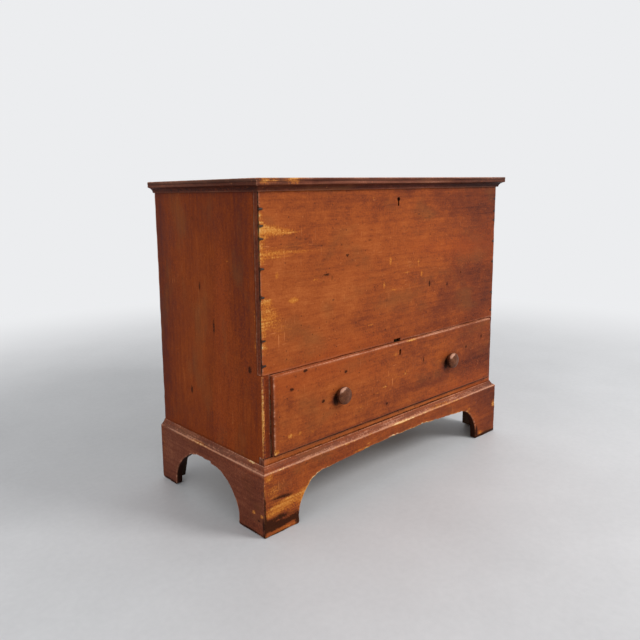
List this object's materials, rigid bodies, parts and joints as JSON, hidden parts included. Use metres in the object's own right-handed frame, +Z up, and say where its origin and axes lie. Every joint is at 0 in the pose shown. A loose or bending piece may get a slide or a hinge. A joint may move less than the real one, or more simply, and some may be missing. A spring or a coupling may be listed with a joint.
{
  "type": "blanket chest",
  "caption": "Lift-top pine blanket chest over a long drawer, with moulded lid edge, turned knobs, locks and a bracket base with arched aprons.",
  "frame": {"origin": "middle of the chest's bounding box, on the floor under the feet", "axes": "+X to the chest's right as seen from the front, +Y from front to back, +Z up; the front with the drawer faces -Y"},
  "size_m": [1.052, 0.5062, 0.871],
  "materials": {
    "front_pine": "worn orange-brown stained and varnished pine, satin, with horizontal grain",
    "side_pine": "worn red-brown stained pine, satin, with vertical grain on the sides",
    "base_pine": "dark red-brown stained pine with worn arrises",
    "moulding_pine": "dark brown stained pine moulding with a worn lip",
    "bare_pine": "unfinished aged pine, dry and matt",
    "knob_wood": "dark turned hardwood, rubbed to a soft shine",
    "iron": "dark aged iron",
    "brass": "dull aged brass"
  },
  "bodies": {
    "case": {"left_side_board": "side_pine", "right_side_board": "side_pine", "front_board": "front_pine", "bottom_rail": "front_pine", "chest_floor": "bare_pine", "lower_back_board": "bare_pine", "upper_back_board": "bare_pine", "left_drawer_runner": "bare_pine", "right_drawer_runner": "bare_pine", "front_base_board": "base_pine", "left_base_board": "base_pine", "right_base_board": "base_pine", "left_front_foot_block": "bare_pine", "right_front_foot_block": "bare_pine", "left_rear_foot_block": "bare_pine", "right_rear_foot_block": "bare_pine", "left_apron_block": "bare_pine", "right_apron_block": "bare_pine", "left_hinge_case_leaf": "iron", "left_hinge_pin": "iron", "right_hinge_case_leaf": "iron", "right_hinge_pin": "iron", "chest_lock_case": "iron"},
    "lid": {"lid_board": "side_pine", "front_lid_moulding": "moulding_pine", "left_lid_moulding": "moulding_pine", "right_lid_moulding": "moulding_pine", "lid_link_plate": "brass", "left_hinge_lid_leaf": "iron", "right_hinge_lid_leaf": "iron"},
    "drawer": {"drawer_front": "front_pine", "drawer_left_side": "bare_pine", "drawer_right_side": "bare_pine", "drawer_back": "bare_pine", "drawer_bottom": "bare_pine", "left_knob": "knob_wood", "right_knob": "knob_wood", "drawer_lock_case": "iron"},
    "chest_lock_bolt": {"chest_lock_bolt": "brass"},
    "drawer_lock_bolt": {"drawer_lock_bolt": "brass"}
  },
  "joints": [
    {"name": "lid_hinge", "type": "hinge", "parent": "case", "child": "lid", "pos_m": [0, 0.24915, 0.85285], "axis": [-1, 0, 0], "range_deg": [0, 100]},
    {"name": "drawer_slide", "type": "slide", "parent": "case", "child": "drawer", "axis": [0, -1, 0], "range_m": [0, 0.33]},
    {"name": "chest_lock_bolt_slide", "type": "slide", "parent": "case", "child": "chest_lock_bolt", "axis": [1, 0, 0], "range_m": [0, 0.006]},
    {"name": "drawer_lock_bolt_slide", "type": "slide", "parent": "drawer", "child": "drawer_lock_bolt", "axis": [0, 0, 1], "range_m": [0, 0.007]}
  ]
}
